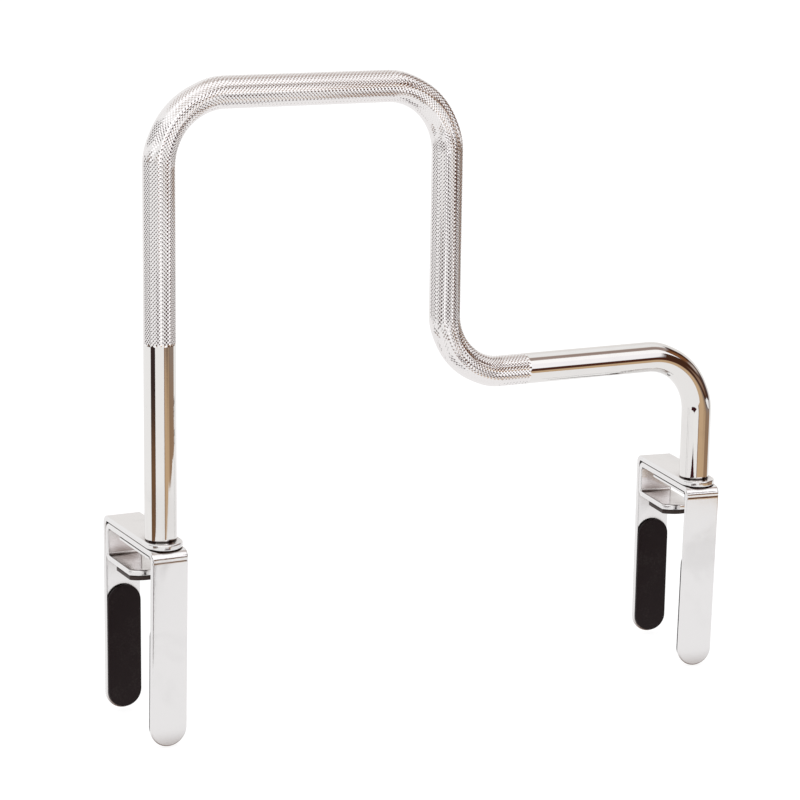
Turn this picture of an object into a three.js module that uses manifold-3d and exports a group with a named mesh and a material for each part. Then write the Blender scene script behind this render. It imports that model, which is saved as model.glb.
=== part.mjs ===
// Bathtub safety rail: one bent tube with a high and a low hand bar, held on the tub wall by two strap clamps.
// Millimetres, +Z up. The origin is midway between the posts, in the plane of the tub rim that the clamps sit on.
// +X runs along the rail towards its low bar, and +Y points from the posts towards the rear jaws.
import * as THREE from "three";
import { mergeVertices } from "three/addons/utils/BufferGeometryUtils.js";
import Module from "manifold-3d";

// Rail
const tubeDiameter = 25.4;
const tubeWall = 1.5;
const postSpacing = 494.5;
const loopWidth = 247.5; // left post to middle post
const highBarHeight = 347; // top strap to the axis of the high bar
const lowBarHeight = 109.3; // top strap to the axis of the low bar
const topBendRadius = 54.5;
const lowBendRadius = 52;

// Clamp straps
const strapWidth = 30;
const strapThickness = 4.8;
const bendInside = 2;
const rearLegLength = 165; // bend to tip
const frontLegLength = 161.3;
const legSetback = 15.3; // post axis to the front leg's inner face
const throat = 98.2; // leg to leg, as closed as it goes
const throatTravel = 45; // how far the front leg can move out
const frontLegLean = 0.0287; // radians by which the front leg leans in towards its tip
const tongueReach = 21; // post axis to the rounded front end of the top strap
const windowHeight = 22.1; // inside the hook, for the wrench
const noseSetback = 24.5; // post axis to the tip of the seat flange
const noseRadius = 20.6;
const slotPlateThickness = 2;
const slotPlateInset = 0.8; // bend's end to the slot plate's front end
const slotPlateLip = 2.5; // slot's end to the slot plate's rear end
const rightClampTurn = -0.145; // radians by which the right clamp stands turned on its bolt

// Rubber pads
const padThickness = 3;
const padLength = 104;
const padEdge = 0.8; // strap's edge to pad's edge
const padTipEdge = 1.5; // leg's tip to pad's tip
const rimPadThickness = 3.5;
const rimPadLength = 37;
const rimPadCorner = 3;

// Clamping screws, one under each post
const boltDiameter = 8;
const boltLength = 35;
const boltHeadWidth = 13;
const boltHeadHeight = 5.3;
const washerDiameter = 16;
const washerThickness = 1.6;
const lockWasherDiameter = 14;
const lockWasherThickness = 2;
const lockWasherSplit = 1.4;
const boltClearance = 0.5;

// Foot plugs
const shoulderHeight = 0.6;
const shoulderEdge = 0.5; // tube's surface to shoulder's rim
const plugDepth = 24;
const plugClearance = 0.15;
const threadClearance = 0.15;

// Gaps and cuts
const seatGap = 0.3; // between a piece and what it is bonded to or pressed on
const slideGap = 0.3; // between the top strap and the hook that slides under it
const overrun = 1; // how far a cutter passes the surface that it cuts

// Facets
const tubeSides = 32;
const tubeBendSteps = 10;
const strapBendSteps = 8;
const roundSides = 40;
const arcSides = 20; // of each arc in an outline
const hexSides = 6;

// Heights, from the rim up
const bendOutside = bendInside + strapThickness;
const seatTop = rimPadThickness + seatGap + strapThickness;
const hookTop = seatTop + windowHeight + strapThickness;
const strapTop = hookTop + slideGap + strapThickness;
const rearLegFace = throat - legSetback; // inner face of the rear leg, along Y
const rearLegTip = strapTop - rearLegLength;
const frontLegTip = hookTop - frontLegLength;

const chrome = new THREE.MeshStandardMaterial({ color: 0xd9d7d5, roughness: 0.08, metalness: 1 });
const strapChrome = new THREE.MeshStandardMaterial({ color: 0xcfccca, roughness: 0.2, metalness: 1 });
const zinc = new THREE.MeshStandardMaterial({ color: 0xb9bcc0, roughness: 0.35, metalness: 1 });
const rubber = new THREE.MeshStandardMaterial({ color: 0x1d1a1b, roughness: 0.8, metalness: 0 });

const wasm = await Module();
wasm.setup();

// A closed geometry as a solid that can be joined and cut
function toSolid(geometry) {
  const bare = geometry.clone();
  bare.deleteAttribute("normal");
  bare.deleteAttribute("uv");
  const merged = mergeVertices(bare);
  return new wasm.Manifold(
    new wasm.Mesh({
      numProp: 3,
      vertProperties: merged.attributes.position.array,
      triVerts: new Uint32Array(merged.index.array),
    }),
  );
}

function toGeometry(solid) {
  const cut = solid.getMesh();
  const geometry = new THREE.BufferGeometry();
  geometry.setAttribute("position", new THREE.BufferAttribute(new Float32Array(cut.vertProperties), 3));
  geometry.setIndex(new THREE.BufferAttribute(new Uint32Array(cut.triVerts), 1));
  geometry.computeVertexNormals();
  return geometry;
}

// Axes that a flat outline is drawn on and raised along
const across = new THREE.Matrix4().makeBasis(
  new THREE.Vector3(0, 1, 0),
  new THREE.Vector3(0, 0, 1),
  new THREE.Vector3(1, 0, 0),
); // drawn in YZ, raised along +X
const upright = new THREE.Matrix4().makeBasis(
  new THREE.Vector3(1, 0, 0),
  new THREE.Vector3(0, 0, 1),
  new THREE.Vector3(0, -1, 0),
); // drawn in XZ, raised along -Y

function prism(shape, depth, curveSegments = arcSides / 2) {
  return new THREE.ExtrudeGeometry(shape, { depth, bevelEnabled: false, curveSegments });
}

function disc(radius, height, sides = roundSides) {
  return new THREE.CylinderGeometry(radius, radius, height, sides).rotateX(Math.PI / 2);
}

// Points along straight runs joined by round bends. A bend turns left where its angle is positive.
function walk(start, heading, runs, bendSteps) {
  const stations = [];
  let [x, y] = start;
  let angle = heading;
  const drop = () => stations.push({ x, y, angle });
  drop();
  for (const { length, turn = 0, radius = 0 } of runs) {
    x += length * Math.cos(angle);
    y += length * Math.sin(angle);
    drop();
    if (turn === 0) continue;
    const side = Math.sign(turn);
    const centreX = x - side * radius * Math.sin(angle);
    const centreY = y + side * radius * Math.cos(angle);
    const from = angle;
    for (let step = 1; step <= bendSteps; step++) {
      angle = from + (turn * step) / bendSteps;
      x = centreX + side * radius * Math.sin(angle);
      y = centreY - side * radius * Math.cos(angle);
      drop();
    }
  }
  return stations;
}

// A flat bar bent along a path in YZ, centred on X = 0
function bentStrap(start, heading, runs) {
  const stations = walk(start, heading, runs, strapBendSteps);
  const beside = (side) =>
    stations.map(
      ({ x, y, angle }) =>
        new THREE.Vector2(
          x - (side * strapThickness * Math.sin(angle)) / 2,
          y + (side * strapThickness * Math.cos(angle)) / 2,
        ),
    );
  const outline = new THREE.Shape([...beside(1), ...beside(-1).reverse()]);
  return toSolid(prism(outline, strapWidth).applyMatrix4(across).translate(-strapWidth / 2, 0, 0));
}

// What to cut off a strap's end to round it. The end points along -Y, and the round's centre is at the origin.
function endCutter(radius, height) {
  const block = new THREE.BoxGeometry(strapWidth + 2 * overrun, radius + overrun, height);
  block.translate(0, -(radius + overrun) / 2, 0);
  return toSolid(block).subtract(toSolid(disc(radius, height + 2 * overrun)));
}

// The same for a leg, whose end points down and whose face is turned to Y
function tipCutter(tip, face) {
  const turned = endCutter(strapWidth / 2, strapWidth).rotate([90, 0, 0]);
  return turned.translate([0, face, tip + strapWidth / 2]);
}

const boltHole = boltDiameter / 2 + boltClearance;

// What to cut out of a plate, whose underside is at Z = 0, to let the bolt travel
function slotCutter(thickness) {
  const depth = thickness + 2 * overrun;
  const ends = [0, throatTravel].map((y) => toSolid(disc(boltHole, depth)).translate([0, y, thickness / 2]));
  const sides = new THREE.BoxGeometry(2 * boltHole, throatTravel, depth);
  sides.translate(0, throatTravel / 2, thickness / 2);
  return ends[0].add(ends[1]).add(toSolid(sides));
}

const strapBend = { turn: -Math.PI / 2, radius: bendInside + strapThickness / 2 };

// Top strap: a tongue under the post, then the plate, and the rear leg bent down from it
function topStrap() {
  const rear = rearLegFace + strapThickness;
  const solid = bentStrap([-tongueReach, strapTop - strapThickness / 2], 0, [
    { length: tongueReach + rear - bendOutside, ...strapBend },
    { length: rearLegLength - bendOutside },
  ]);
  const middle = strapTop - strapThickness / 2;
  const tongue = endCutter(strapWidth / 2, strapThickness + 2 * overrun).translate([
    0,
    strapWidth / 2 - tongueReach,
    middle,
  ]);
  const hole = toSolid(disc(boltHole, strapThickness + 2 * overrun)).translate([0, 0, middle]);
  return toGeometry(solid.subtract(tongue).subtract(hole).subtract(tipCutter(rearLegTip, rear)));
}

// Hook: the seat flange on the rim, a rear wall, the slotted flange under the top strap, and the front leg
function hookStrap() {
  const bend = { turn: Math.PI / 2, radius: strapBend.radius };
  const rear = rearLegFace - slideGap;
  const front = -legSetback - strapThickness;
  const frontTurn = Math.PI / 2 + frontLegLean;
  const bendFoot = hookTop - bendOutside - bend.radius * Math.sin(frontLegLean);
  const solid = bentStrap([noseSetback, seatTop - strapThickness / 2], 0, [
    { length: rear - bendOutside - noseSetback, ...bend },
    { length: windowHeight + 2 * strapThickness - 2 * bendOutside, ...bend },
    { length: rear - front - 2 * bendOutside, turn: frontTurn, radius: bend.radius },
    { length: (bendFoot - frontLegTip) / Math.cos(frontLegLean) },
  ]);
  const nose = endCutter(noseRadius, strapThickness + 2 * overrun).translate([
    0,
    noseSetback + noseRadius,
    seatTop - strapThickness / 2,
  ]);
  const slot = slotCutter(strapThickness).translate([0, 0, hookTop - strapThickness]);
  return toGeometry(solid.subtract(nose).subtract(slot).subtract(tipCutter(frontLegTip, front)));
}

// Slot plate: doubles the hook's slotted flange, where the washer bears on it. Its underside is at Z = 0.
function slotPlate() {
  const front = bendInside + slotPlateInset - legSetback;
  const rear = throatTravel + boltHole + slotPlateLip;
  const plate = new THREE.BoxGeometry(strapWidth, rear - front, slotPlateThickness);
  plate.translate(0, (rear + front) / 2, slotPlateThickness / 2);
  return toGeometry(toSolid(plate).subtract(slotCutter(slotPlateThickness)));
}

// A jaw pad: a bar of rubber with round ends, its back at Y = 0, its tip at Z = 0, growing towards -Y
function jawPad() {
  const half = strapWidth / 2 - padEdge;
  const outline = new THREE.Shape();
  outline.absarc(0, half, half, Math.PI, 2 * Math.PI, false);
  outline.absarc(0, padLength - half, half, 0, Math.PI, false);
  return prism(outline, padThickness).applyMatrix4(upright);
}

// The pad under the seat flange, with the flange's nose and round corners behind. Its underside is the rim plane.
function rimPad() {
  const half = strapWidth / 2 - padEdge;
  const radius = noseRadius - padEdge;
  const centre = noseSetback + noseRadius;
  const sweep = Math.asin(half / radius);
  const back = noseSetback + padEdge + rimPadLength;
  const outline = new THREE.Shape();
  outline.absarc(0, centre, radius, -Math.PI / 2 - sweep, -Math.PI / 2 + sweep, false);
  outline.absarc(half - rimPadCorner, back - rimPadCorner, rimPadCorner, 0, Math.PI / 2, false);
  outline.absarc(rimPadCorner - half, back - rimPadCorner, rimPadCorner, Math.PI / 2, Math.PI, false);
  return prism(outline, rimPadThickness);
}

// Rail tube: up the left post, over the high bar, down to the low bar and down the right post
class RailPath extends THREE.Curve {
  constructor(stations) {
    super();
    this.stations = stations;
  }

  at(share) {
    return this.stations[Math.round(share * (this.stations.length - 1))];
  }

  getPoint(share, target = new THREE.Vector3()) {
    return target.set(this.at(share).x, 0, this.at(share).y);
  }

  getTangent(share, target = new THREE.Vector3()) {
    return target.set(Math.cos(this.at(share).angle), 0, Math.sin(this.at(share).angle));
  }

  getUtoTmapping(share) {
    return share;
  }
}

function railTube() {
  const foot = strapTop + seatGap + shoulderHeight + seatGap;
  const right = Math.PI / 2;
  const stations = walk(
    [-postSpacing / 2, foot],
    Math.PI / 2,
    [
      { length: strapTop + highBarHeight - topBendRadius - foot, turn: -right, radius: topBendRadius },
      { length: loopWidth - 2 * topBendRadius, turn: -right, radius: topBendRadius },
      {
        length: highBarHeight - topBendRadius - lowBarHeight - lowBendRadius,
        turn: right,
        radius: lowBendRadius,
      },
      { length: postSpacing - loopWidth - 2 * lowBendRadius, turn: -right, radius: lowBendRadius },
      { length: strapTop + lowBarHeight - lowBendRadius - foot },
    ],
    tubeBendSteps,
  );
  const section = new THREE.Shape();
  section.absarc(0, 0, tubeDiameter / 2, 0, 2 * Math.PI, false);
  const bore = new THREE.Path();
  bore.absarc(0, 0, tubeDiameter / 2 - tubeWall, 0, 2 * Math.PI, true);
  section.holes.push(bore);
  return new THREE.ExtrudeGeometry(section, {
    steps: stations.length - 1,
    curveSegments: tubeSides / 2,
    bevelEnabled: false,
    extrudePath: new RailPath(stations),
  });
}

// A turned piece from its half section, closed on itself, with its axis along Z
function turned(points) {
  const closed = [...points, points[0]].map(([radius, height]) => new THREE.Vector2(radius, height));
  return new THREE.LatheGeometry(closed, roundSides).rotateX(Math.PI / 2);
}

// Foot plug: a threaded shank inside the tube, and a thin shoulder between the tube's end and the top strap
function footPlug() {
  const bore = boltDiameter / 2 + threadClearance;
  const shank = tubeDiameter / 2 - tubeWall - plugClearance;
  const rim = tubeDiameter / 2 - shoulderEdge;
  return turned([
    [bore, 0],
    [rim, 0],
    [rim, shoulderHeight],
    [shank, shoulderHeight],
    [shank, shoulderHeight + plugDepth],
    [bore, shoulderHeight + plugDepth],
  ]);
}

// Hex screw, head down, with the head's bearing face at Z = 0
function clampBolt() {
  const corner = boltHeadWidth / Math.sqrt(3);
  const head = toSolid(disc(corner, boltHeadHeight, hexSides)).translate([0, 0, -boltHeadHeight / 2]);
  const chamfer = corner - boltHeadWidth / 2;
  const cap = turned([
    [0, overrun],
    [0, -boltHeadHeight],
    [boltHeadWidth / 2, -boltHeadHeight],
    [corner + chamfer, -boltHeadHeight + chamfer],
    [corner + chamfer, overrun],
  ]);
  const shank = toSolid(disc(boltDiameter / 2, boltLength + boltHeadHeight / 2));
  const middle = (boltLength - boltHeadHeight / 2) / 2;
  return toGeometry(head.intersect(toSolid(cap)).add(shank.translate([0, 0, middle])));
}

function flatWasher() {
  const outline = new THREE.Shape();
  outline.absarc(0, 0, washerDiameter / 2, 0, 2 * Math.PI, false);
  const hole = new THREE.Path();
  hole.absarc(0, 0, boltHole, 0, 2 * Math.PI, true);
  outline.holes.push(hole);
  return prism(outline, washerThickness, roundSides / 2);
}

// Spring lock washer, split at one side
function lockWasher() {
  const outline = new THREE.Shape();
  const outer = lockWasherDiameter / 2;
  const inner = boltHole;
  const outerHalf = Math.asin(lockWasherSplit / 2 / outer);
  const innerHalf = Math.asin(lockWasherSplit / 2 / inner);
  outline.absarc(0, 0, outer, outerHalf, 2 * Math.PI - outerHalf, false);
  outline.absarc(0, 0, inner, 2 * Math.PI - innerHalf, innerHalf, true);
  return prism(outline, lockWasherThickness, roundSides / 2);
}

const rail = new THREE.Group();

function place(parent, name, geometry, material, x, y, z) {
  const mesh = new THREE.Mesh(geometry, material);
  mesh.name = name;
  mesh.position.set(x, y, z);
  parent.add(mesh);
  return mesh;
}

place(rail, "rail_tube", railTube(), chrome, 0, 0, 0);

const slotPlateZ = hookTop - strapThickness - seatGap - slotPlateThickness;
const washerZ = slotPlateZ - seatGap - washerThickness;
const lockWasherZ = washerZ - seatGap - lockWasherThickness;
const boltZ = lockWasherZ - seatGap;
const pieces = {
  plug: footPlug(),
  top: topStrap(),
  hook: hookStrap(),
  slotPlate: slotPlate(),
  jawPad: jawPad(),
  rimPad: rimPad(),
  bolt: clampBolt(),
  washer: flatWasher(),
  lockWasher: lockWasher(),
};

for (const [side, direction, turn] of [
  ["left", -1, 0],
  ["right", 1, rightClampTurn],
]) {
  const clamp = new THREE.Group();
  clamp.position.x = (direction * postSpacing) / 2;
  clamp.rotation.z = turn;
  rail.add(clamp);
  place(clamp, `${side}_foot_plug`, pieces.plug, zinc, 0, 0, strapTop + seatGap);
  place(clamp, `${side}_top_strap`, pieces.top, strapChrome, 0, 0, 0);
  place(clamp, `${side}_hook_strap`, pieces.hook, strapChrome, 0, 0, 0);
  place(clamp, `${side}_slot_plate`, pieces.slotPlate, strapChrome, 0, 0, slotPlateZ);
  place(clamp, `${side}_rim_pad`, pieces.rimPad, rubber, 0, 0, 0);
  place(clamp, `${side}_clamp_bolt`, pieces.bolt, zinc, 0, 0, boltZ);
  place(clamp, `${side}_lock_washer`, pieces.lockWasher, zinc, 0, 0, lockWasherZ);
  place(clamp, `${side}_flat_washer`, pieces.washer, zinc, 0, 0, washerZ);
  place(clamp, `${side}_rear_pad`, pieces.jawPad, rubber, 0, rearLegFace - seatGap, rearLegTip + padTipEdge);

  // The front pad lies on the leaning leg, so it hangs from the leg's inner face at the bend
  const leg = new THREE.Group();
  leg.position.set(0, bendOutside - strapThickness - legSetback - bendInside, hookTop - bendOutside);
  leg.rotation.x = frontLegLean;
  clamp.add(leg);
  const reach = (leg.position.z - frontLegTip) / Math.cos(frontLegLean);
  const padY = seatGap + padThickness;
  place(leg, `${side}_front_pad`, pieces.jawPad, rubber, 0, padY, padTipEdge - reach);
}

export default rail;
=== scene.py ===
import math

import bmesh
import bpy
import numpy as np
from mathutils import Matrix, Vector


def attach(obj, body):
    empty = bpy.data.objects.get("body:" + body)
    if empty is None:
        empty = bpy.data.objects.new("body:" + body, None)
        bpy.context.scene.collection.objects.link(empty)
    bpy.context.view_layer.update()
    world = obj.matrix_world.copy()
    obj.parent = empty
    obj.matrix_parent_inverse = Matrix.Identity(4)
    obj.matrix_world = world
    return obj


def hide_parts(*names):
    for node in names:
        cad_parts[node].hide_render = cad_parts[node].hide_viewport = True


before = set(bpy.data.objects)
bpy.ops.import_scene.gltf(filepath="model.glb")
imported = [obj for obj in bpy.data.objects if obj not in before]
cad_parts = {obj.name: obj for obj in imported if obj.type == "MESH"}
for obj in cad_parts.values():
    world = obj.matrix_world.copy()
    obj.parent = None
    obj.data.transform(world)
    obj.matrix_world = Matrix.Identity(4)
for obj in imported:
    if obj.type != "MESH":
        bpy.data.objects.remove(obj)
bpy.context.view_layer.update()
print("frame loaded")

mm = 0.001
stopDigits = 6               # decimals that a path's stops are rounded to, so that equal ones become one
meshCare = {
    "merge": 1e-6,           # metres, within which points become one
    "degenerate": 1e-7,      # metres, under which an edge is dropped
    "sharp": 40,             # degrees, from which an edge is sharp
}


def gridFaces(rows, columns, closed=True):
    # quads between neighbouring rows and columns of a grid whose points are stored row by row
    row = np.arange(rows - 1)[:, None] * columns
    column = np.arange(columns if closed else columns - 1)[None, :]
    after = (column + 1) % columns
    corners = [row + column, row + after, row + columns + after, row + columns + column]
    return np.stack(corners, -1).reshape(-1, 4)


class Path:
    # A flat path of straight runs and round bends, in the plane of two axes.
    # Each run is a length, then the angle that the path turns by and the radius of that bend.
    def __init__(self, start, heading, runs):
        pieces = []
        x, y, angle, along = start[0], start[1], heading, 0.0
        for length, turn, radius in runs:
            pieces.append((along, x, y, angle, 0.0))
            x += length * math.cos(angle)
            y += length * math.sin(angle)
            along += length
            if turn:
                curve = math.copysign(1 / radius, turn)
                pieces.append((along, x, y, angle, curve))
                x += (math.sin(angle + turn) - math.sin(angle)) / curve
                y -= (math.cos(angle + turn) - math.cos(angle)) / curve
                angle += turn
                along += abs(turn) * radius
        self.pieces = np.array(pieces)
        self.length = along

    # The run or bend that each distance falls in
    def pieceAt(self, distance):
        return np.clip(np.searchsorted(self.pieces[:, 0], distance, side="right") - 1, 0, None)

    # Position and heading at each distance: on a bend the heading grows with the distance,
    # and the position is the bend's centre plus the radius turned to that heading
    def at(self, distance):
        along, x, y, angle, curve = self.pieces[self.pieceAt(distance)].T
        step = distance - along
        bent = curve != 0
        safe = np.where(bent, curve, 1)
        heading = angle + curve * step
        x = x + np.where(bent, (np.sin(heading) - np.sin(angle)) / safe, step * np.cos(angle))
        y = y + np.where(bent, -(np.cos(heading) - np.cos(angle)) / safe, step * np.sin(angle))
        return x, y, heading

    # 1 in a left bend, -1 in a right bend and 0 elsewhere, growing smoothly over a share of the bend
    def bendSide(self, distance, share):
        ends = np.append(self.pieces[1:, 0], self.length)
        index = self.pieceAt(distance)
        inBend = (distance - self.pieces[index, 0]) / (ends - self.pieces[:, 0])[index]
        rise = np.clip(np.minimum(inBend, 1 - inBend) / share, 0, 1)
        return np.sign(self.pieces[index, 4]) * rise * rise * (3 - 2 * rise)

    # Distances that follow the path: the ends of every piece, and steps inside each bend
    def stops(self, bendSteps):
        starts = self.pieces[:, 0]
        ends = np.append(starts[1:], self.length)
        found = [starts, ends]
        for start, end, curve in zip(starts, ends, self.pieces[:, 4]):
            if curve:
                found.append(np.linspace(start, end, bendSteps + 1))
        return np.unique(np.round(np.concatenate(found), stopDigits))


# Millimetres. Heights are above the tub's rim; in a clamp Y grows from the post towards the rear leg.
sizes = {
    "postSpacing": 494.5,
    "strapTop": 40.6,        # top face of the top strap
    "hookTop": 35.5,         # top face of the slotted flange
    "seatTop": 8.6,          # top face of the seat flange
    "strapWidth": 30.0,
    "strapThickness": 4.8,
    "bendRadius": 4.4,       # strap's middle line
    "rearLegFace": 82.9,     # inner face of the rear leg
    "rearLegTip": -124.4,
    "frontLegTip": -125.8,
    "frontLegLean": 0.0287,  # radians
    "legSetback": 15.3,      # post axis to the front leg's inner face
    "slideGap": 0.3,         # hook's rear wall to the rear leg
    "clampTurn": {"left": 0.0, "right": -0.145},
    "slotTravel": 45.0,
    "boltHole": 4.5,         # radius
}
sideSign = {"left": -1, "right": 1}


def placeClamp(points, side):
    # clamp coordinates to the object's: turned about the post, then moved out to it
    turn = sizes["clampTurn"][side]
    c, s = math.cos(turn), math.sin(turn)
    x, y, z = points.T
    return np.stack([c * x - s * y + sideSign[side] * sizes["postSpacing"] / 2, s * x + c * y, z], 1)


rail = {
    "radius": 12.7,
    "wall": 1.5,
    "highBar": 347.0,        # above the top strap
    "lowBar": 109.3,
    "loopWidth": 247.5,      # left post to middle post
    "topBend": 54.5,
    "lowBend": 52.0,
    "foot": 41.8,            # height of the tube's lower ends
    "knurlStarts": 30,       # grooves side by side round the tube, of each hand
    "knurlPitch": 3.0,
    "knurlDepth": 0.34,
    "knurlRise": 0.07,       # crests above the plain tube
    "knurlFrom": 195.5,      # height on the left post
    "knurlTo": 76.2,         # along X on the low bar
    "knurlEdge": 0.4,        # run over which the knurl's ends meet the plain tube
    "knurlClear": 1.0,       # other plain rows keep this far from the knurl
    "crestMark": 0.25,       # grooveDepth on the crests, for the material
    "crossingMark": 1.0,     # grooveDepth where the grooves cross
    "bendSteps": 30,
    "rowSpacing": 11.0,      # between the rows of the plain runs
    "flattening": 1.0,       # by which a bend's outer side is pressed in
    "runOut": 0.28,          # share of a bend over which the flattening grows
    "sharp": 60,             # degrees, from which an edge is sharp
    "digits": 4,             # decimals of the rows' distances
}


def railPath():
    right = math.pi / 2
    top = sizes["strapTop"]
    return Path((-sizes["postSpacing"] / 2, rail["foot"]), right, [
        (top + rail["highBar"] - rail["topBend"] - rail["foot"], -right, rail["topBend"]),
        (rail["loopWidth"] - 2 * rail["topBend"], -right, rail["topBend"]),
        (rail["highBar"] - rail["topBend"] - rail["lowBar"] - rail["lowBend"], right, rail["lowBend"]),
        (sizes["postSpacing"] - rail["loopWidth"] - 2 * rail["lowBend"], -right, rail["lowBend"]),
        (top + rail["lowBar"] - rail["lowBend"] - rail["foot"], 0, 0),
    ])


# A circle carried along the rail's path. In the knurled length the radius follows two families of V grooves.
# Rows stand half a pitch apart and columns half a groove apart, so crests and groove crossings alternate like
# a chessboard's squares, and each square is split along the groove that crosses it.
def buildRail():
    path = railPath()
    columns = 2 * rail["knurlStarts"]
    edge = rail["knurlEdge"]
    start = rail["knurlFrom"] - rail["foot"]
    lastBend, lastBendX = path.pieces[-2, :2]
    end = lastBend + rail["knurlTo"] - lastBendX
    count = int(round((end - start) / (rail["knurlPitch"] / 2)))
    knurlRows = start + (end - start) * np.arange(count + 1) / count
    runs = np.arange(0, path.length, rail["rowSpacing"])
    wallDistance = np.unique(np.round(np.concatenate([path.stops(rail["bendSteps"]), runs]), rail["digits"]))
    plain = wallDistance[np.maximum(start - wallDistance, wallDistance - end) > rail["knurlClear"]]
    distance = np.sort(np.concatenate([plain, [start - edge, end + edge], knurlRows]))
    knurled = (distance > start - edge / 2) & (distance < end + edge / 2)
    lifted = knurled.copy()
    lifted[np.flatnonzero(knurled)[[0, -1]]] = False      # the knurl's first and last rows lie on the plain tube
    around = 2 * math.pi * np.arange(columns) / columns
    crest = (np.cumsum(knurled)[:, None] + np.arange(columns)[None, :]) % 2 == 1
    lift = np.where(crest, rail["knurlRise"], rail["knurlRise"] - rail["knurlDepth"])
    lift = np.where(lifted[:, None], lift, 0.0)

    def rings(along, radius):
        # out of the plane along -Y, and in the plane along the path's normal
        x, z, heading = [value[:, None] for value in path.at(along)]
        outer = np.maximum(-path.bendSide(along, rail["runOut"])[:, None] * np.sin(around), 0)
        radius = radius - rail["flattening"] * outer ** 2
        normal = radius * np.sin(around)
        shape = [x - normal * np.sin(heading), -radius * np.cos(around), z + normal * np.cos(heading)]
        return np.stack(shape, -1).reshape(-1, 3)

    outside = rings(distance, rail["radius"] + lift)
    inside = rings(wallDistance, rail["radius"] - rail["wall"])
    faces = gridFaces(len(distance), columns)
    row, column = faces[:, 0] // columns, faces[:, 0] % columns
    inKnurl, onCrest = knurled[row] & knurled[row + 1], crest[row, column]
    a, b, c, d = faces[inKnurl & onCrest].T
    triangles = [(a, b, d), (b, c, d)]
    a, b, c, d = faces[inKnurl & ~onCrest].T
    triangles += [(a, b, c), (a, c, d)]
    flatFaces = np.concatenate([np.stack(corners, 1) for corners in triangles])
    insideFaces = gridFaces(len(wallDistance), columns)[:, ::-1] + len(outside)
    ends = []
    for outerRow, innerRow, flip in [(0, 0, False), (len(distance) - 1, len(wallDistance) - 1, True)]:
        o = outerRow * columns + np.arange(columns)
        i = len(outside) + innerRow * columns + np.arange(columns)
        cap = np.stack([o, i, np.roll(i, -1), np.roll(o, -1)], 1)
        ends.append(cap[:, ::-1] if flip else cap)
    quadFaces = np.concatenate([faces[~inKnurl], insideFaces, *ends])
    points = np.concatenate([outside, inside])
    mesh = bpy.data.meshes.new("grab_rail")
    mesh.from_pydata((points * mm).tolist(), [], quadFaces.tolist() + flatFaces.tolist())
    marks = np.where(lift > 0, rail["crestMark"], np.where(lift < 0, rail["crossingMark"], 0.0))
    grooveDepth = np.concatenate([marks.ravel(), np.zeros(len(inside))])
    mesh.attributes.new("grooveDepth", "FLOAT", "POINT").data.foreach_set("value", grooveDepth)
    mesh.set_sharp_from_angle(angle=math.radians(rail["sharp"]))
    mesh.polygons.foreach_set("use_smooth", np.arange(len(mesh.polygons)) < len(quadFaces))
    mesh.update()
    piece = bpy.data.objects.new("grab_rail", mesh)
    bpy.context.scene.collection.objects.link(piece)
    return piece


# Straps, plates and pads are worked out flat and then bent along a path
bar = {
    "faceColumns": 4,        # on each half of a face
    "rimSteps": 4,           # round each corner of the section
    "tipSteps": 10,          # round each half of a tip
    "tipStart": 0.35,        # first step of a round tip, as a share of a step
    "slotSteps": 8,          # round each quarter of a slot's ends
    "bendSteps": 10,
    "clear": 0.2,            # stations between the tips keep this far from them
    "mitreFrom": 0.98,       # a tip whose arc meets the side with a smaller normal across gets a mitred corner
    "mitreLimit": 0.3,
    "cornerRun": 0.4,        # from that corner to the next station
    "tiny": 1e-6,            # a slot narrower than this is closed
    "digits": 5,             # decimals of the stations' distances
    "markReach": 3,          # a mark's half length, in its widths
    "markSteps": 18,
}


# Right half of a rounded end: distance from the tip, half width, and the outline's outward normal
def endStations(radius, halfWidth):
    centre = max(halfWidth - radius, 0.0)
    last = math.asin(min(1.0, (halfWidth - centre) / radius))
    first = last / bar["tipSteps"] * bar["tipStart"] if centre == 0 else 0.0
    angle = np.linspace(first, last, bar["tipSteps"])
    cosine, sine = np.cos(angle), np.sin(angle)
    return np.stack([radius - radius * cosine, centre + radius * sine, -cosine, sine], 1)


# Normal of a corner between two sides, as long as it takes to inset both by one unit
def mitre(one, other):
    total = np.array(one) + np.array(other)
    total = total / np.linalg.norm(total)
    return total / max(np.dot(total, other), bar["mitreLimit"])


def barStations(length, halfWidth, startRadius, endRadius, stops, slots):
    start = endStations(startRadius, halfWidth)
    end = endStations(endRadius, halfWidth)[::-1].copy()
    end[:, 0] = length - end[:, 0]
    end[:, 2] *= -1
    turn = np.linspace(0, math.pi / 2, bar["slotSteps"] + 1)
    between = [stops]
    for slotStart, slotEnd, slotRadius in slots:
        between += [slotStart - slotRadius * np.cos(turn), slotEnd + slotRadius * np.cos(turn)]
    between = np.unique(np.round(np.concatenate(between), bar["digits"]))
    between = between[(between > start[-1, 0] + bar["clear"]) & (between < end[0, 0] - bar["clear"])]
    middle = np.stack([between, np.full(len(between), halfWidth), 0 * between, 1 + 0 * between], 1)
    if start[-1, 3] < bar["mitreFrom"]:
        corner = [start[-1, 0], halfWidth, *mitre(start[-1, 2:], (0, 1))]
        behind = [start[-1, 0] + bar["cornerRun"], halfWidth, 0, 1]
        start = np.concatenate([start[:-1], [corner, behind]])
    return np.concatenate([start, middle, end])


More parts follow.
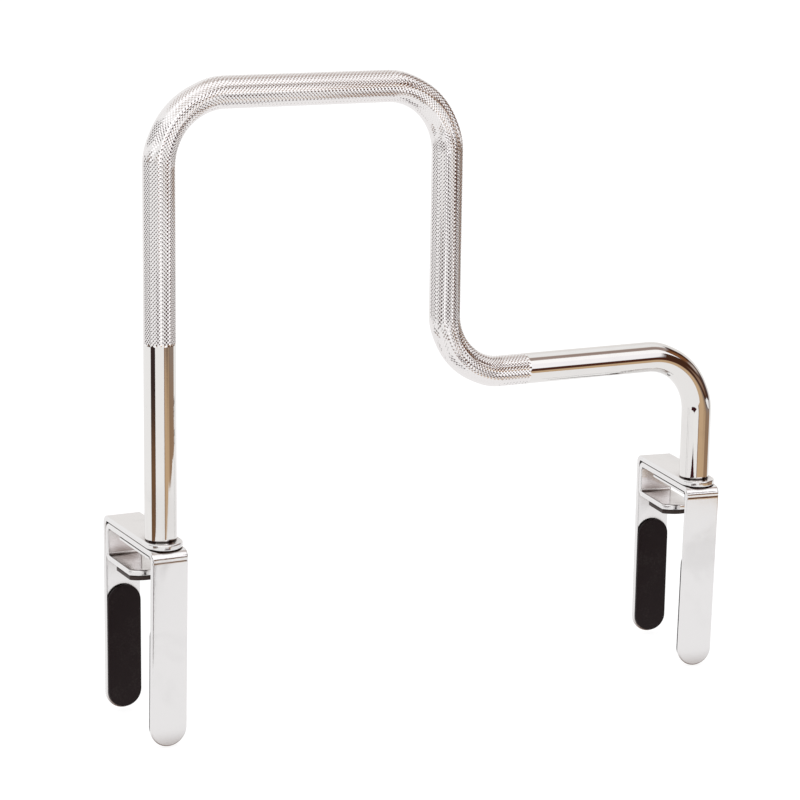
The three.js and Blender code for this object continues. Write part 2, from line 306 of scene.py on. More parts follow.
# A flat bar with rounded rims. Stations run along it; at each, a half section goes from the slot's
# edge over the top face, round the rim by a quarter circle at each corner, and back under the bar.
def barSurface(length, halfWidth, thickness, rim, startRadius, endRadius, stops, slots):
    stations = barStations(length, halfWidth, startRadius, endRadius, stops, slots)
    distance, width, normalAlong, normalAcross = [value[:, None] for value in stations.T]
    turn = np.linspace(0, math.pi / 2, bar["rimSteps"] + 1)
    inwards, downwards = rim * (1 - np.sin(turn)), rim * (1 - np.cos(turn))
    inset = np.concatenate([inwards, downwards])
    height = np.concatenate([thickness / 2 - downwards, inwards - thickness / 2])
    rimAlong, rimAcross = distance - inset * normalAlong, width - inset * normalAcross
    faceAlong, faceAcross = rimAlong[:, 0], rimAcross[:, 0]
    hole = np.zeros(len(stations))
    for slotStart, slotEnd, slotRadius in slots:
        past = np.maximum(np.maximum(slotStart - faceAlong, faceAlong - slotEnd), 0)
        hole = np.maximum(hole, np.sqrt(np.maximum(slotRadius ** 2 - past ** 2, 0)))
    columns = bar["faceColumns"]
    share = np.linspace(0, 1, columns + 1)[:-1]
    topAcross = hole[:, None] + (faceAcross - hole)[:, None] * share
    topAlong = np.repeat(faceAlong[:, None], columns, 1)
    face = np.full(columns, thickness / 2)
    across = np.concatenate([topAcross, rimAcross, topAcross[:, ::-1]], 1)
    along = np.concatenate([topAlong, rimAlong, topAlong], 1)
    up = np.repeat(np.concatenate([face, height, -face])[None, :], len(stations), 0)
    right = np.stack([across, along, up], -1).reshape(-1, 3)
    left = right * np.array([-1, 1, 1])
    rows, around = across.shape
    wall = np.flatnonzero((hole[:-1] > bar["tiny"]) | (hole[1:] > bar["tiny"])) * around
    walls = np.stack([wall + around - 1, wall, wall + around, wall + 2 * around - 1], 1)
    rightFaces = np.concatenate([gridFaces(rows, around, closed=False), walls])
    leftFaces = rightFaces[:, ::-1] + len(right)
    caps = []
    for row, flip in [(0, False), (rows - 1, True)]:
        i = row * around + np.arange(around - 1)
        cap = np.stack([i, i + 1, i + 1 + len(right), i + len(right)], 1)
        caps.append(cap[:, ::-1] if flip else cap)
    return np.concatenate([right, left]), np.concatenate([rightFaces, leftFaces, *caps])


def cleanMesh(name, points, faces, sharp=meshCare["sharp"]):
    # merges what coincides, drops what has no area, turns all faces outwards
    mesh = bpy.data.meshes.new(name)
    mesh.from_pydata((points * mm).tolist(), [], [list(face) for face in faces])
    work = bmesh.new()
    work.from_mesh(mesh)
    bmesh.ops.remove_doubles(work, verts=work.verts, dist=meshCare["merge"])
    bmesh.ops.dissolve_degenerate(work, dist=meshCare["degenerate"], edges=work.edges)
    bmesh.ops.recalc_face_normals(work, faces=work.faces)
    work.to_mesh(mesh)
    work.free()
    mesh.polygons.foreach_set("use_smooth", np.ones(len(mesh.polygons), bool))
    mesh.set_sharp_from_angle(angle=math.radians(sharp))
    mesh.update()
    piece = bpy.data.objects.new(name, mesh)
    bpy.context.scene.collection.objects.link(piece)
    weighted = piece.modifiers.new("weighted", "WEIGHTED_NORMAL")
    weighted.keep_sharp = True
    return piece


# Marks are shallow grooves that the bending tool leaves across the right-hand side of the path:
# a bell curve of the given depth and width, centred at a distance along the path
def bentBar(name, side, path, halfWidth, thickness, rim, startRadius, endRadius, slots=(), marks=()):
    reach = np.linspace(-bar["markReach"], bar["markReach"], bar["markSteps"] + 1)
    stops = np.concatenate([path.stops(bar["bendSteps"])] + [at + width * reach for at, depth, width in marks])
    points, faces = barSurface(path.length, halfWidth, thickness, rim, startRadius, endRadius, stops, slots)
    y, z, heading = path.at(points[:, 1])
    for at, depth, width in marks:
        bell = np.exp(-((points[:, 1] - at) / width) ** 2 / 2)
        points[:, 2] += np.where(points[:, 2] < 0, depth * bell * -2 * points[:, 2] / thickness, 0)
    across, up = points[:, 0], points[:, 2]
    bent = np.stack([across, y - up * np.sin(heading), z + up * np.cos(heading)], 1)
    return cleanMesh(name, placeClamp(bent, side), faces)


strap = {
    "rim": 1.2,              # radius of the section's corners
    "tongueReach": 21.0,     # post axis to the top strap's front end
    "noseSetback": 24.5,     # post axis to the seat flange's tip
    "noseRadius": 20.6,
    "markOffset": 1.1,       # the bending tool's mark, below the front bend
    "markDepth": 0.14,
    "markWidth": 0.9,
}


def buildTopStrap(side):
    t, r = sizes["strapThickness"], sizes["bendRadius"]
    outside = r + t / 2
    rear = sizes["rearLegFace"] + t
    hole = strap["tongueReach"]
    path = Path((-strap["tongueReach"], sizes["strapTop"] - t / 2), 0.0, [
        (strap["tongueReach"] + rear - outside, -math.pi / 2, r),
        (sizes["strapTop"] - outside - sizes["rearLegTip"], 0, 0),
    ])
    half = sizes["strapWidth"] / 2
    slots = [(hole, hole, sizes["boltHole"])]
    return bentBar(side + "_top_bracket", side, path, half, t, strap["rim"], half, half, slots)


# From the seat flange's nose back to the rear wall, up, forwards over the window and down the front leg
def buildHook(side):
    t, r = sizes["strapThickness"], sizes["bendRadius"]
    outside = r + t / 2
    rear = sizes["rearLegFace"] - sizes["slideGap"]
    front = -sizes["legSetback"] - t
    lean = sizes["frontLegLean"]
    foot = sizes["hookTop"] - outside - r * math.sin(lean)
    seatRun = rear - outside - strap["noseSetback"]
    wallRun = sizes["hookTop"] - sizes["seatTop"] + t - 2 * outside
    path = Path((strap["noseSetback"], sizes["seatTop"] - t / 2), 0.0, [
        (seatRun, math.pi / 2, r),
        (wallRun, math.pi / 2, r),
        (rear - front - 2 * outside, math.pi / 2 + lean, r),
        ((foot - sizes["frontLegTip"]) / math.cos(lean), 0, 0),
    ])
    slotEnd = seatRun + math.pi * r + wallRun + (rear - outside)      # distance along the path to the post axis
    slots = [(slotEnd - sizes["slotTravel"], slotEnd, sizes["boltHole"])]
    marks = [(path.pieces[-1, 0] + strap["markOffset"], strap["markDepth"], strap["markWidth"])]
    half = sizes["strapWidth"] / 2
    return bentBar(side + "_hook", side, path, half, t, strap["rim"], strap["noseRadius"], half, slots, marks)


slotPlate = {
    "thickness": 2.0,
    "front": -12.5,
    "rear": 52.0,
    "under": 28.4,           # height of its underside
    "rim": 0.3,
    "corner": 1.2,
}


def buildSlotPlate(side):
    p = slotPlate
    path = Path((p["front"], p["under"] + p["thickness"] / 2), 0.0, [(p["rear"] - p["front"], 0, 0)])
    slots = [(-p["front"], sizes["slotTravel"] - p["front"], sizes["boltHole"])]
    half = sizes["strapWidth"] / 2
    return bentBar(side + "_doubler", side, path, half, p["thickness"], p["rim"], p["corner"], p["corner"], slots)


pad = {
    "thickness": 3.0,
    "length": 104.0,
    "width": 28.4,
    "rim": 1.0,
    "seatGap": 0.3,
    "tipEdge": 1.5,          # leg's tip to pad's tip
}


def jawPad(name, side, start, heading):
    half = pad["width"] / 2
    path = Path(start, heading, [(pad["length"], 0, 0)])
    return bentBar(name, side, path, half, pad["thickness"], pad["rim"], half, half)


def buildRearPad(side):
    y = sizes["rearLegFace"] - pad["seatGap"] - pad["thickness"] / 2
    return jawPad(side + "_rear_jaw_pad", side, (y, sizes["rearLegTip"] + pad["tipEdge"]), math.pi / 2)


def buildFrontPad(side):
    # the leg leans, so the pad is set out from the leg's inner face at the bend
    lean = sizes["frontLegLean"]
    bendZ = sizes["hookTop"] - sizes["bendRadius"] - sizes["strapThickness"] / 2
    offset = pad["seatGap"] + pad["thickness"] / 2
    down = (bendZ - sizes["frontLegTip"]) / math.cos(lean) - pad["tipEdge"]
    y = -sizes["legSetback"] + offset * math.cos(lean) + down * math.sin(lean)
    z = bendZ + offset * math.sin(lean) - down * math.cos(lean)
    return jawPad(side + "_front_jaw_pad", side, (y, z), math.pi / 2 + lean)


rimPad = {
    "thickness": 3.5,
    "length": 37.0,
    "edge": 0.8,             # strap's edge to pad's edge
    "corner": 3.0,
    "rim": 0.7,
}


def buildRimPad(side):
    p = rimPad
    path = Path((strap["noseSetback"] + p["edge"], p["thickness"] / 2), 0.0, [(p["length"], 0, 0)])
    half, nose = sizes["strapWidth"] / 2 - p["edge"], strap["noseRadius"] - p["edge"]
    return bentBar(side + "_rim_cushion", side, path, half, p["thickness"], p["rim"], nose, p["corner"])


# Under is the height of a piece's lower face, and of the head's bearing face on the bolt
plug = {
    "under": 40.9,
    "bore": 4.15,
    "rim": 12.2,             # radius of the shoulder
    "shoulder": 0.6,
    "shank": 11.05,
    "depth": 24.0,
    "edge": 0.2,
    "sides": 64,
}
bolt = {
    "under": 23.9,
    "radius": 4.0,
    "length": 35.0,
    "pitch": 1.25,
    "threadDepth": 0.6,
    "crestCut": 0.2,         # by which the thread's crests are flattened
    "tip": 1.2,              # length of the chamfered end
    "halfWidth": 6.5,        # of the hexagon, flat to axis
    "headHeight": 5.3,
    "headRound": 6.1,        # radius of the round that the head's chamfer leaves
    "headChamfer": 30.0,     # degrees
    "edge": 0.25,
    "sides": 48,
    "rowsPerTurn": 6,
    "sharp": 30,
}
washer = {"under": 26.5, "radius": 8.0, "hole": 4.5, "thickness": 1.6, "edge": 0.3, "sides": 64}
lockWasher = {
    "under": 24.2, "radius": 7.0, "hole": 4.5, "thickness": 2.0, "edge": 0.2, "sides": 56,
    "split": 1.4,
    "rise": 0.1,             # climb from the split to the far side
}


# A profile of radius and height turned about the post's axis; both may differ from angle to angle
def turnedPoints(radius, height, angle):
    return np.stack([radius * np.cos(angle), radius * np.sin(angle), height + 0 * radius * angle], -1).reshape(-1, 3)


def buildFootPlug(side):
    p = plug
    e, top = p["edge"], p["shoulder"]
    high = top + p["depth"]
    profile = np.array([
        (p["bore"], e), (p["bore"] + e, 0), (p["rim"] - e, 0), (p["rim"], e),
        (p["rim"], top - e / 2), (p["rim"] - e / 2, top), (p["shank"], top),
        (p["shank"], high - e), (p["shank"] - e, high), (p["bore"] + e, high), (p["bore"], high - e), (p["bore"], e),
    ])
    angle = np.linspace(0, 2 * math.pi, p["sides"], endpoint=False)
    points = turnedPoints(profile[:, :1], profile[:, 1:] + p["under"], angle)
    return cleanMesh(side + "_plug", placeClamp(points, side), gridFaces(len(profile), len(angle)))


# Screw: a hexagon head cut by a cone, and a thread whose radius is a triangle wave of height less turn
def buildBolt(side):
    p = bolt
    angle = 2 * math.pi * np.arange(p["sides"])[None, :] / p["sides"]
    even = np.ones_like(angle)
    sixth = 2 * math.pi / 6
    hexagon = p["halfWidth"] / np.cos((angle + sixth / 2) % sixth - sixth / 2)
    chamfer = (hexagon - p["headRound"]) * math.tan(math.radians(p["headChamfer"]))
    head = [
        (0 * even, -p["headHeight"] * even),
        (p["headRound"] * even, -p["headHeight"] * even),
        (hexagon, chamfer - p["headHeight"]),
        (hexagon, -p["edge"] * even),
        (hexagon - p["edge"], 0 * even),
        ((p["radius"] + p["edge"]) * even, 0 * even),
    ]
    height = np.arange(p["edge"], p["length"], p["pitch"] / p["rowsPerTurn"])[:, None]
    wave = np.abs((height / p["pitch"] - angle / (2 * math.pi)) % 1 - 0.5) * 2
    taper = np.maximum(height - (p["length"] - p["tip"]), 0)
    thread = np.minimum(p["radius"] - p["threadDepth"] * wave, p["radius"] - p["crestCut"] - taper)
    radius = np.concatenate([row for row, _ in head] + [thread, thread[-1:], 0 * even])
    rise = np.concatenate([row for _, row in head] + [height + 0 * angle, p["length"] * even, p["length"] * even])
    points = turnedPoints(radius, rise + p["under"], angle)
    return cleanMesh(side + "_screw", placeClamp(points, side), gridFaces(len(radius), p["sides"]), p["sharp"])


# Section of a washer, its corners cut by the edge
def rimmedRing(p):
    e, high = p["edge"], p["thickness"]
    return np.array([
        (p["hole"], e), (p["hole"] + e, 0), (p["radius"] - e, 0), (p["radius"], e),
        (p["radius"], high - e), (p["radius"] - e, high), (p["hole"] + e, high), (p["hole"], high - e), (p["hole"], e),
    ])


def buildWasher(side):
    profile = rimmedRing(washer)
    angle = np.linspace(0, 2 * math.pi, washer["sides"], endpoint=False)
    points = turnedPoints(profile[:, :1], profile[:, 1:] + washer["under"], angle)
    return cleanMesh(side + "_plain_washer", placeClamp(points, side), gridFaces(len(profile), len(angle)))


# The split washer's section goes round from one side of the split to the other, climbing a little
def buildLockWasher(side):
    p = lockWasher
    profile = rimmedRing(p)[:-1]
    half = math.asin(p["split"] / 2 / p["radius"])
    angle = np.linspace(half, 2 * math.pi - half, p["sides"])[:, None]
    height = profile[None, :, 1] + p["under"] + p["rise"] * (angle / math.pi - 1)
    points = turnedPoints(profile[None, :, 0], height, angle)
    first = list(range(len(profile)))
    last = [len(points) - 1 - index for index in first]
    faces = gridFaces(p["sides"], len(profile)).tolist() + [first, last]
    return cleanMesh(side + "_spring_washer", placeClamp(points, side), faces)


print("building pieces")
pieces = {"grab_rail": buildRail()}
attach(pieces["grab_rail"], "rail")
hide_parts("rail_tube")
for side in ("left", "right"):
    for build, body, node, slot in [
        (buildTopStrap, "_jaw", "_top_strap", "clamp_chrome"),
        (buildHook, "_hook", "_hook_strap", "clamp_chrome"),
        (buildSlotPlate, "_hook", "_slot_plate", "clamp_chrome"),
        (buildRearPad, "_jaw", "_rear_pad", "pad_rubber"),
        (buildFrontPad, "_hook", "_front_pad", "pad_rubber"),
        (buildRimPad, "_hook", "_rim_pad", "pad_rubber"),
        (buildFootPlug, None, "_foot_plug", "plug_chrome"),
        (buildBolt, None, "_clamp_bolt", "bolt_zinc"),
        (buildWasher, None, "_flat_washer", "washer_zinc"),
        (buildLockWasher, None, "_lock_washer", "washer_zinc"),
    ]:
        piece = build(side)
        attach(piece, side + body if body else "rail")
        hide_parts(side + node)
        pieces[piece.name] = piece
print("pieces built")


# Wave and fine are the heights of the surface's slow waves and fine grain, and their sizes count per metre
finish = {
    "tube": {
        "colour": (0.80, 0.785, 0.77), "roughness": 0.035, "smudge": 0.05,
        "wave": 0.02, "waveSize": 55.0, "fine": 0.004, "fineSize": 900.0,
    },
    "strap": {
        "colour": (0.81, 0.80, 0.798), "roughness": 0.10, "smudge": 0.10,
        "wave": 0.05, "waveSize": 70.0, "fine": 0.02, "fineSize": 1400.0,
    },
    "zinc": {
        "colour": (0.62, 0.63, 0.65), "roughness": 0.26, "smudge": 0.12,
        "wave": 0.03, "waveSize": 220.0, "fine": 0.03, "fineSize": 1800.0,
    },
    "waveDetail": 2.0,
    "fineDetail": 3.0,
    "bumpHeight": 0.001,                  # metres that a surface height of 1 stands for
    "knurl": (0.86, 0.84, 0.835),         # colour of the chrome on the knurl
    "knurlRoughness": 0.06,               # added to the tube's
    "grooveShade": (0.30, 0.24, 0.20),          # painted shade: multiplies the chrome at the bottom of the knurl
    "grooveShadeShare": 0.06,
    "grooveShadeFocus": 3.0,                    # power that keeps the painted shade to the deepest points
    "creviceShade": (0.17, 0.10, 0.07),        # painted shade: multiplies the clamps' chrome where they close in on themselves
    "creviceReach": 0.028,                # metres
    "creviceOpen": 0.82,                  # openness from which the chrome has no painted shade, and up to which the shade is darkest
    "creviceClosed": 0.2,
    "creviceSamples": 8,
}
smudges = {"size": 23.0, "detail": 4.0, "distortion": 0.6, "from": 0.48, "to": 0.75, "shade": 0.95}
rubber = {
    "jawColour": (0.011, 0.005, 0.0055),
    "cushionColour": (0.05, 0.035, 0.031),
    "dustColour": (0.03, 0.024, 0.022),
    "specular": 0.16,
    "roughness": 0.42,
    "grain": 0.06,           # height
    "grainSize": 1500.0,
    "cloudSize": 60.0,
    "cloudDetail": 5.0,
    "speckSize": 700.0,
    "speckDetail": 2.0,
    "dustFrom": 0.27,
    "dustTo": 0.45,
    "dustShare": 0.6,
    "dustRoughness": 0.3,    # added where the dust lies
}


def addNode(tree, kind, inputs=(), **values):
    node = tree.nodes.new(kind)
    for name, value in values.items():
        setattr(node, name, value)
    for key, value in dict(inputs).items():
        if isinstance(value, bpy.types.NodeSocket):
            tree.links.new(value, node.inputs[key])
        else:
            node.inputs[key].default_value = value
    return node


def mathNode(tree, operation, *values):
    return addNode(tree, "ShaderNodeMath", dict(enumerate(values)), operation=operation).outputs[0]


def noiseNode(tree, position, size, detail, distortion=0.0):
    inputs = {"Vector": position, "Scale": size, "Detail": detail, "Distortion": distortion}
    return addNode(tree, "ShaderNodeTexNoise", inputs).outputs[0]


def rangeNode(tree, value, inputs, kind="LINEAR"):
    return addNode(tree, "ShaderNodeMapRange", {"Value": value, **inputs}, interpolation_type=kind).outputs[0]


def mixNode(tree, share, one, other, blend="MIX"):
    inputs = {0: share, 6: one, 7: other}
    return addNode(tree, "ShaderNodeMix", inputs, data_type="RGBA", blend_type=blend).outputs[2]


def newGroup(name, inputs, outputs):
    group = bpy.data.node_groups.new(name, "ShaderNodeTree")
    for direction, names in (("INPUT", inputs), ("OUTPUT", outputs)):
        for key in names:
            kind = "Vector" if key == "Position" else "Color" if "Colour" in key else "Float"
            group.interface.new_socket(key, in_out=direction, socket_type="NodeSocket" + kind)
    return group, addNode(group, "NodeGroupInput").outputs, addNode(group, "NodeGroupOutput").inputs


# Plated metal: slow waves and a fine grain in the surface, and smudges that dull it here and there
def platingGroup():
    group, given, result = newGroup(
        "platedMetal", ["Position", "Colour", "Roughness", "Smudge", "Wave Size", "Wave", "Fine Size", "Fine"],
        ["Colour", "Roughness", "Height"])
    position = given["Position"]
    slow = noiseNode(group, position, given["Wave Size"], finish["waveDetail"])
    quick = noiseNode(group, position, given["Fine Size"], finish["fineDetail"])
    wave, fine = mathNode(group, "MULTIPLY", slow, given["Wave"]), mathNode(group, "MULTIPLY", quick, given["Fine"])
    patches = noiseNode(group, position, smudges["size"], smudges["detail"], smudges["distortion"])
    dull = rangeNode(group, patches, {"From Min": smudges["from"], "From Max": smudges["to"]}, "SMOOTHSTEP")
    shade = rangeNode(group, dull, {"To Min": 1.0, "To Max": smudges["shade"]})
    duller = mathNode(group, "MULTIPLY", dull, given["Smudge"])
    group.links.new(mixNode(group, 1.0, given["Colour"], shade, "MULTIPLY"), result["Colour"])
    group.links.new(mathNode(group, "ADD", given["Roughness"], duller), result["Roughness"])
    group.links.new(mathNode(group, "ADD", wave, fine), result["Height"])
    return group


# Moulded rubber: a fine pebble grain, and a thin dust that lies in patches
def rubberGroup():
    group, given, result = newGroup(
        "mouldedRubber", ["Position", "Colour", "Dust Colour", "Roughness", "Grain"], ["Colour", "Roughness", "Height"])
    position = given["Position"]
    grain = addNode(group, "ShaderNodeTexVoronoi", {"Vector": position, "Scale": rubber["grainSize"]}).outputs[0]
    cloud = noiseNode(group, position, rubber["cloudSize"], rubber["cloudDetail"])
    speck = noiseNode(group, position, rubber["speckSize"], rubber["speckDetail"])
    patches = mathNode(group, "MULTIPLY", cloud, speck)
    dust = rangeNode(group, patches, {"From Min": rubber["dustFrom"], "From Max": rubber["dustTo"]})
    dusty = mathNode(group, "MULTIPLY", dust, rubber["dustShare"])
    duller = mathNode(group, "MULTIPLY", dusty, rubber["dustRoughness"])
    group.links.new(mixNode(group, dusty, given["Colour"], given["Dust Colour"]), result["Colour"])
    group.links.new(mathNode(group, "ADD", given["Roughness"], duller), result["Roughness"])
    group.links.new(mathNode(group, "MULTIPLY", grain, given["Grain"]), result["Height"])
    return group


def newMaterial(name, metallic):
    material = bpy.data.materials.new(name)
    material.use_nodes = True
    tree = material.node_tree
    shader = tree.nodes["Principled BSDF"]
    shader.inputs["Metallic"].default_value = metallic
    position = addNode(tree, "ShaderNodeTexCoord").outputs["Object"]
    return material, tree, shader, position


def finishMaterial(tree, shader, colour, roughness, height):
    tree.links.new(colour, shader.inputs["Base Color"])
    tree.links.new(roughness, shader.inputs["Roughness"])
    bump = addNode(tree, "ShaderNodeBump", {"Height": height, "Strength": 1.0, "Distance": finish["bumpHeight"]})
    tree.links.new(bump.outputs[0], shader.inputs["Normal"])


# The knurl is duller and paler than the plain tube, with painted shade at the bottom of its grooves; the clamps
# get painted shade where they close in on themselves
def platedMaterial(name, group, values, knurled=False, shadeCrevices=False):
    material, tree, shader, position = newMaterial(name, 1.0)
    surface = addNode(tree, "ShaderNodeGroup", {
        "Position": position, "Colour": (*values["colour"], 1), "Roughness": values["roughness"],
        "Smudge": values["smudge"], "Wave Size": values["waveSize"], "Wave": values["wave"],
        "Fine Size": values["fineSize"], "Fine": values["fine"],
    }, node_tree=group)
    colour, roughness, height = surface.outputs
    if knurled:
        depth = addNode(tree, "ShaderNodeAttribute", attribute_name="grooveDepth").outputs["Fac"]
        onKnurl = rangeNode(tree, depth, {"From Max": rail["crestMark"]})
        # painted shade, darkest at the bottom of the knurl's grooves
        deepest = mathNode(tree, "POWER", depth, finish["grooveShadeFocus"])
        grooveShading = mathNode(tree, "MULTIPLY", deepest, finish["grooveShadeShare"])
        duller = mathNode(tree, "MULTIPLY", onKnurl, finish["knurlRoughness"])
        colour = mixNode(tree, onKnurl, colour, (*finish["knurl"], 1))
        colour = mixNode(tree, grooveShading, colour, (*finish["grooveShade"], 1), "MULTIPLY")
        roughness = mathNode(tree, "ADD", roughness, duller)
    if shadeCrevices:
        # painted shade where the clamps close in on themselves, darker where less of the surroundings is open
        inputs, samples = {"Distance": finish["creviceReach"]}, finish["creviceSamples"]
        openness = addNode(tree, "ShaderNodeAmbientOcclusion", inputs, samples=samples).outputs["AO"]
        limits = {"From Min": finish["creviceOpen"], "From Max": finish["creviceClosed"]}
        closed = rangeNode(tree, openness, limits, "SMOOTHSTEP")
        colour = mixNode(tree, closed, colour, (*finish["creviceShade"], 1), "MULTIPLY")
    finishMaterial(tree, shader, colour, roughness, height)
    return material


def rubberMaterial(name, group, colour):
    material, tree, shader, position = newMaterial(name, 0.0)
    surface = addNode(tree, "ShaderNodeGroup", {
        "Position": position, "Colour": (*colour, 1), "Dust Colour": (*rubber["dustColour"], 1),
        "Roughness": rubber["roughness"], "Grain": rubber["grain"],
    }, node_tree=group)
    shader.inputs["Specular IOR Level"].default_value = rubber["specular"]
    finishMaterial(tree, shader, *surface.outputs)
    return material


plating, moulding = platingGroup(), rubberGroup()
tubeChrome = platedMaterial("tubeChrome", plating, finish["tube"], knurled=True)
strapChrome = platedMaterial("strapChrome", plating, finish["strap"], shadeCrevices=True)
zincPlating = platedMaterial("zincPlating", plating, finish["zinc"])
blackRubber = rubberMaterial("blackRubber", moulding, rubber["jawColour"])
cushionRubber = rubberMaterial("cushionRubber", moulding, rubber["cushionColour"])
for name, piece in pieces.items():
    if name == "grab_rail":
        piece.data.materials.append(tubeChrome)
    elif "pad" in name:
        piece.data.materials.append(blackRubber)
    elif "cushion" in name:
        piece.data.materials.append(cushionRubber)
    elif "screw" in name or "washer" in name:
        piece.data.materials.append(zincPlating)
    else:
        piece.data.materials.append(strapChrome)
print("materials ready")


view = {
    "place": (-0.9878, -1.8609, 0.6014),
    "azimuth": -27.04,
    "elevation": 12.62,
    "roll": 0.85,
    "lens": 119.0,
    "sensor": 36.0,
    "shift": (-0.0014, -0.0006),
    "farthest": 50.0,
}


def buildCamera():
    a, e, w = (math.radians(view[key]) for key in ("azimuth", "elevation", "roll"))
    back = Vector((math.sin(a) * math.cos(e), -math.cos(a) * math.cos(e), math.sin(e)))
    level = Vector((math.cos(a), math.sin(a), 0))
    upward = back.cross(level)
    right = math.cos(w) * level + math.sin(w) * upward
    up = back.cross(right)
    camera = bpy.data.objects.new("camera", bpy.data.cameras.new("camera"))
    turn = Matrix((right, up, back)).transposed()
    camera.matrix_world = Matrix.Translation(Vector(view["place"])) @ turn.to_4x4()
    camera.data.lens = view["lens"]
    camera.data.sensor_width = view["sensor"]
    camera.data.shift_x, camera.data.shift_y = view["shift"]
    camera.data.clip_end = view["farthest"]
    bpy.context.scene.collection.objects.link(camera)
    bpy.context.scene.camera = camera


# The room as the chrome mirrors it, in patches mixed over white one after another: azimuth from and to, elevation
# from and to, softness in degrees, slant by which the azimuths grow with elevation, colour. Azimuth 0 is -Y and
# grows towards +X.
room = {
    "softFront": (-57, 31, 6, 62, 4, 0, (1.45, 1.43, 1.45)),
    "softRight": (29, 60, 5, 47, 3, 0, (1.12, 1.10, 1.13)),
    "ceiling": (36, 97, 39, 66, 5, 0, (0.47, 0.37, 0.33)),
    "ceilingShade": (66, 88, 42, 62, 6, 0, (0.34, 0.26, 0.23)),
    "zenith": (-400, 400, 68, 120, 5, 0, (0.55, 0.47, 0.43)),
    "behind": (104, 200, -8, 40, 8, 0, (0.90, 0.88, 0.865)),
    "corner": (88, 103, -8, 42, 6, 0, (0.42, 0.37, 0.38)),
    "wallNear": (-30, 50, -27, -10.5, 2, 0, (0.62, 0.43, 0.26)),
    "wallFar": (46, 93, -27, -10.5, 3, 0, (0.36, 0.23, 0.14)),
    "door": (31.5, 96, -11.5, 39, 3, 0.5, (0.065, 0.026, 0.014)),
    "doorGlow": (62, 88, 19, 38, 6, 0, (0.24, 0.10, 0.04)),
    "lamp": (71, 90, 8, 18, 4, 0, (0.52, 0.43, 0.38)),
    "shelf": (47, 68, -5, 3, 2.5, 0, (0.28, 0.175, 0.12)),
    "cabinet": (78, 98, -4, 7, 3, 0, (0.09, 0.06, 0.053)),
    "lineNear": (-6, 36, -11.5, 4, 1.5, 0, (0.075, 0.022, 0.012)),
    "leftLow": (-88, -54, -22, -11, 1.2, 0, (0.19, 0.10, 0.05)),
    "leftHigh": (-88, -54, -13.4, -8, 1.2, 0, (0.042, 0.027, 0.025)),
    "below": (-12, 26, -64, -26, 3, 0, (0.05, 0.02, 0.022)),
    "backLeft": (-122, -60, 1, 20, 3, 0, (0.06, 0.035, 0.032)),
}


# A patch of the room: 1 between two azimuths and two elevations, with soft edges
def patchGroup():
    group, given, result = newGroup("studioPatch", [
        "Azimuth", "Elevation", "Azimuth From", "Azimuth To", "Elevation From", "Elevation To", "Softness", "Slant",
    ], ["Mask"])

    def rise(value, edge):
        low = mathNode(group, "SUBTRACT", given[edge], given["Softness"])
        high = mathNode(group, "ADD", given[edge], given["Softness"])
        return rangeNode(group, value, {"From Min": low, "From Max": high}, "SMOOTHSTEP")

    def between(name, value):
        return mathNode(group, "SUBTRACT", rise(value, name + " From"), rise(value, name + " To"))

    shift = mathNode(group, "MULTIPLY", given["Slant"], given["Elevation"])
    across = between("Azimuth", mathNode(group, "SUBTRACT", given["Azimuth"], shift))
    group.links.new(mathNode(group, "MULTIPLY", across, between("Elevation", given["Elevation"])), result[0])
    return group


# The camera sees plain white, and everything else the room
def buildWorld():
    world = bpy.data.worlds.new("studio")
    bpy.context.scene.world = world
    world.use_nodes = True
    tree = world.node_tree
    tree.nodes.clear()
    group = patchGroup()
    outwards = addNode(tree, "ShaderNodeTexCoord").outputs["Generated"]
    x, y, z = addNode(tree, "ShaderNodeSeparateXYZ", {0: outwards}).outputs
    angle = mathNode(tree, "ARCTAN2", x, mathNode(tree, "MULTIPLY", y, -1.0))
    azimuth = mathNode(tree, "DEGREES", angle)
    elevation = mathNode(tree, "DEGREES", mathNode(tree, "ARCSINE", z))
    colour = (1, 1, 1, 1)
    for fromAzimuth, toAzimuth, fromElevation, toElevation, softness, slant, patchColour in room.values():
        patch = addNode(tree, "ShaderNodeGroup", {
            "Azimuth": azimuth, "Azimuth From": fromAzimuth, "Azimuth To": toAzimuth,
            "Elevation": elevation, "Elevation From": fromElevation, "Elevation To": toElevation,
            "Softness": softness, "Slant": slant,
        }, node_tree=group)
        colour = mixNode(tree, patch.outputs[0], colour, (*patchColour, 1))
    seen = addNode(tree, "ShaderNodeLightPath").outputs
    plain = mathNode(tree, "MAXIMUM", seen["Is Camera Ray"], seen["Is Transmission Ray"])
    final = mixNode(tree, plain, colour, (1, 1, 1, 1))
    background = addNode(tree, "ShaderNodeBackground", {"Color": final, "Strength": 1.0})
    addNode(tree, "ShaderNodeOutputWorld", {"Surface": background.outputs[0]})


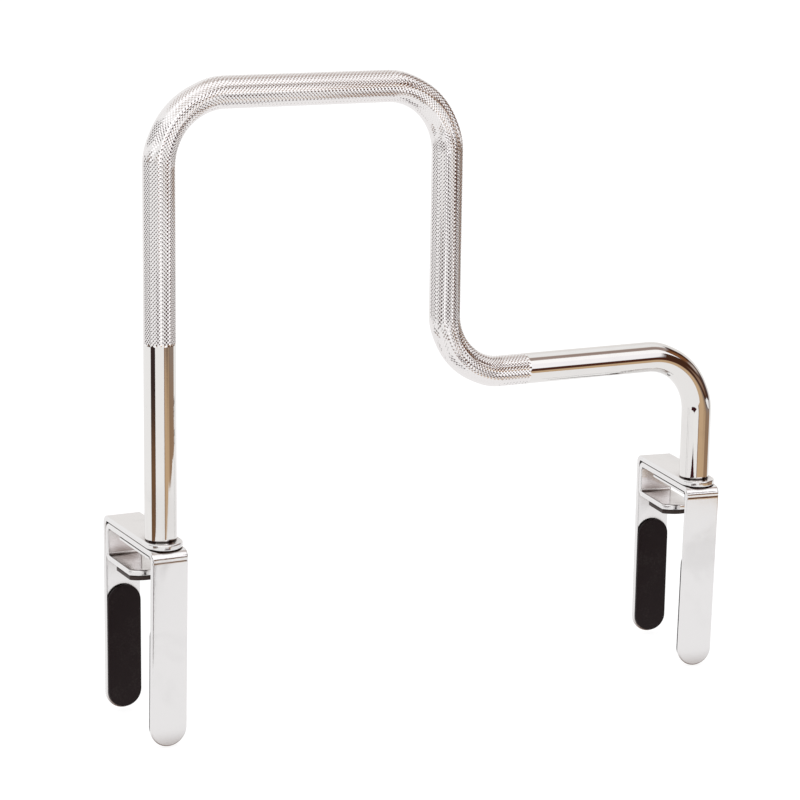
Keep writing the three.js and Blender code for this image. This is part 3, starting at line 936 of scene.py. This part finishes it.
# Metres. Sheets that lie flat have X and Y of their corners; upright ones X from and to, Y, Z from and to.
stage = {
    # the white table under the object, as the chrome sees it, and a second one further to the right
    "tableSheet": [
        (-0.79, 3.0), (-0.79, -0.58), (-0.1, -0.58), (0.20, -0.64), (0.25, -0.67),
        (0.45, -0.475), (0.66, -0.27), (0.78, 0.15), (0.9, 0.6), (1.0, 3.0),
    ],
    "farTable": [(1.45, -0.9), (2.4, -0.9), (2.4, -0.15), (1.45, -0.15)],
    # a dark sheet on the table that stands for shade there, so the knurl mirrors it as painted shade
    "shadeSheet": [(-0.36, -0.58), (-0.06, -0.58), (-0.21, -0.2), (-0.33, -0.2)],
    "shadeSheetLift": 0.001,
    "height": -0.127,
    # the white screen in front and the dark edge that it ends in
    "screen": (-1.99, -0.069, -1.27, -0.7, 1.0),
    "screenEdge": (-0.069, 0.02, -1.27, -0.7, 0.35),
    # a dark and a bright panel that the knurl mirrors, right of the camera
    "darkPanel": (0.20, 0.60, -0.95, 0.36, 0.62),
    "brightPanel": (-0.1, 1.35, -0.6, 0.62, 1.5),
    "tableWhite": (0.98, 0.973, 0.975),
    "screenWhite": (1.0, 0.995, 0.99),
    "screenEdgeBrown": (0.24, 0.13, 0.08),
    "panelBrown": (0.045, 0.012, 0.014),
    "panelWhite": (1.2, 1.19, 1.2),
    "floorSize": 8.0,
    "floorPaper": (0.93, 0.95, 0.97),
    "floorGlow": 1.2,
    "floorShare": 0.72,      # how much of the floor's white is its own, which shadows don't reach
}


def stageSheet(name, corners, material, **seen):
    mesh = bpy.data.meshes.new(name)
    mesh.from_pydata(corners, [], [tuple(range(len(corners)))])
    mesh.materials.append(material)
    sheet = bpy.data.objects.new(name, mesh)
    for key, value in seen.items():
        setattr(sheet, "visible_" + key, value)
    bpy.context.scene.collection.objects.link(sheet)


def bareMaterial(name):
    material = bpy.data.materials.new(name)
    material.use_nodes = True
    tree = material.node_tree
    tree.nodes.clear()
    return material, tree


def glowMaterial(name):
    material, tree = bareMaterial(name)
    glow = addNode(tree, "ShaderNodeEmission", {"Color": (*stage[name], 1), "Strength": 1.0})
    addNode(tree, "ShaderNodeOutputMaterial", {"Surface": glow.outputs[0]})
    return material


def floorMaterial():
    # the paper takes shadows; its own white is for the camera and for mirrors and glass
    material, tree = bareMaterial("floorPaper")
    seen = addNode(tree, "ShaderNodeLightPath").outputs
    mirrored = mathNode(tree, "MAXIMUM", seen["Is Glossy Ray"], seen["Is Transmission Ray"])
    direct = mathNode(tree, "MAXIMUM", seen["Is Camera Ray"], mirrored)
    share = mathNode(tree, "MULTIPLY", direct, stage["floorShare"])
    paper = addNode(tree, "ShaderNodeBsdfDiffuse", {"Color": (*stage["floorPaper"], 1)})
    white = addNode(tree, "ShaderNodeEmission", {"Color": (1, 1, 1, 1), "Strength": stage["floorGlow"]})
    mixed = addNode(tree, "ShaderNodeMixShader", {0: share, 1: paper.outputs[0], 2: white.outputs[0]})
    addNode(tree, "ShaderNodeOutputMaterial", {"Surface": mixed.outputs[0]})
    return material


# The camera sees the floor with a soft shadow; the tables, the dark sheet of painted shade, screen and panels only show
# in the chrome
def buildStage():
    half, height = stage["floorSize"], stage["height"]
    corners = [(-half, -half), (half, -half), (half, half), (-half, half)]
    stageSheet("floor", [(x, y, height) for x, y in corners], floorMaterial(), glossy=False)
    hidden = {"camera": False, "diffuse": False, "shadow": False, "transmission": False}
    whites, browns = glowMaterial("tableWhite"), glowMaterial("panelBrown")
    # the dark sheet on the table is painted shade that the chrome mirrors
    for key, lift, material in [
        ("tableSheet", 0, whites), ("farTable", 0, whites), ("shadeSheet", stage["shadeSheetLift"], browns),
    ]:
        stageSheet(key, [(x, y, height + lift) for x, y in stage[key]], material, **hidden)
    for key, material in [
        ("screen", glowMaterial("screenWhite")), ("screenEdge", glowMaterial("screenEdgeBrown")),
        ("darkPanel", browns), ("brightPanel", glowMaterial("panelWhite")),
    ]:
        fromX, toX, y, fromZ, toZ = stage[key]
        stageSheet(key, [(fromX, y, fromZ), (toX, y, fromZ), (toX, y, toZ), (fromX, y, toZ)], material, **hidden)


buildCamera()
buildWorld()
buildStage()
bpy.context.scene.view_settings.view_transform = "Standard"

print("scene ready")
